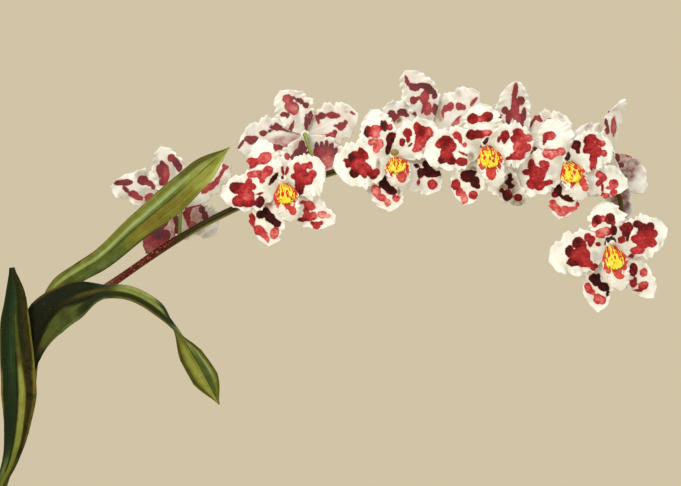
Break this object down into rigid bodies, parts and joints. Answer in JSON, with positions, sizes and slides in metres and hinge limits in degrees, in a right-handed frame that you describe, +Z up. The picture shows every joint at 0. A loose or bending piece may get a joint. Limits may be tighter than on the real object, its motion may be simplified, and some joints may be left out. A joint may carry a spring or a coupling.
{
  "type": "potted odontoglossum crispum orchid",
  "caption": "Orchid in a plain clay pot: strap leaves, pseudobulbs in moss, and one long arching spray of crisped white flowers with crimson blotches.",
  "frame": {"origin": "middle of the pot's flat underside, on the surface that it stands on", "axes": "+Z up; +X the way the flower spray arches; +Y away from the side that the plant is looked at from, across the spray"},
  "size_m": [0.5567, 0.13, 0.5081],
  "materials": {
    "terracotta": "matte",
    "potsherd": "matte",
    "compost": "matte",
    "moss": "matte",
    "rhizome": "matte",
    "pseudobulb": "satin",
    "dry_sheath": "matte",
    "leaf": "satin",
    "flower_stem": "satin",
    "tepal": "matte",
    "lip": "matte",
    "crest": "satin"
  },
  "bodies": {
    "root": {"pot": "terracotta", "crock_1": "potsherd", "crock_2": "potsherd", "crock_3": "potsherd", "compost": "compost", "moss": "moss", "rhizome": "rhizome", "pseudobulb_1": "pseudobulb", "pseudobulb_2": "pseudobulb", "pseudobulb_3": "pseudobulb", "sheath_1": "dry_sheath", "sheath_2": "dry_sheath", "sheath_3": "dry_sheath", "leaf_front": "leaf", "leaf_arching": "leaf", "leaf_upper": "leaf", "flower_stem": "flower_stem", "bloom_01": "tepal", "lip_01": "lip", "crest_01": "crest", "bloom_02": "tepal", "lip_02": "lip", "crest_02": "crest", "bloom_03": "tepal", "lip_03": "lip", "crest_03": "crest", "bloom_04": "tepal", "lip_04": "lip", "crest_04": "crest", "bloom_05": "tepal", "lip_05": "lip", "crest_05": "crest", "bloom_06": "tepal", "lip_06": "lip", "crest_06": "crest", "bloom_07": "tepal", "lip_07": "lip", "crest_07": "crest", "bloom_08": "tepal", "lip_08": "lip", "crest_08": "crest", "bloom_09": "tepal", "lip_09": "lip", "crest_09": "crest", "bloom_10": "tepal", "lip_10": "lip", "crest_10": "crest"}
  },
  "joints": []
}
